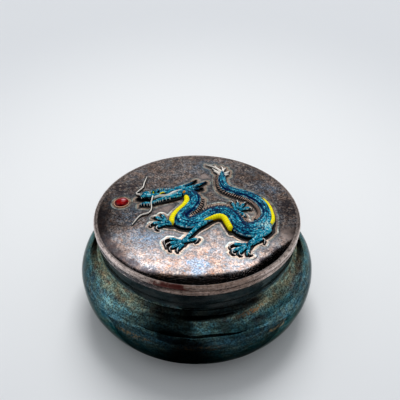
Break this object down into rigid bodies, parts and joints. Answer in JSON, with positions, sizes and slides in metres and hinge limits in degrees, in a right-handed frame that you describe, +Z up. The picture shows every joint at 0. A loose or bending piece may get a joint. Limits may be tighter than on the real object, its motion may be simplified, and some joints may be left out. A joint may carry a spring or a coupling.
{
  "type": "silver box with enamelled dragon",
  "caption": "Squat round silver box with a lift-off domed lid, its top carrying a raised dragon in blue and yellow enamel that reaches for a red pearl.",
  "frame": {"origin": "centre of the base ring, on the surface that the box stands on", "axes": "+Z up through the middle of the lid; the dragon looks towards -X and its feet point towards -Y, the front"},
  "size_m": [0.084, 0.084, 0.0442],
  "materials": {
    "silver_dark": "raised silver with a thick blue-green tarnish, satin, mottled",
    "silver_tarnished": "raised silver with a thin brown-grey tarnish and blue patches, satin, speckled",
    "silver_bright": "silver rubbed bright on the wires, claws and tail tuft",
    "enamel_blue": "translucent teal enamel over chased scales, glossy",
    "enamel_yellow": "opaque yellow enamel, glossy",
    "enamel_red": "translucent red enamel, glossy"
  },
  "bodies": {
    "root": {"box_body": "silver_dark", "lid": "silver_tarnished", "dragon": "enamel_blue", "red_pearl": "enamel_red"}
  },
  "joints": []
}
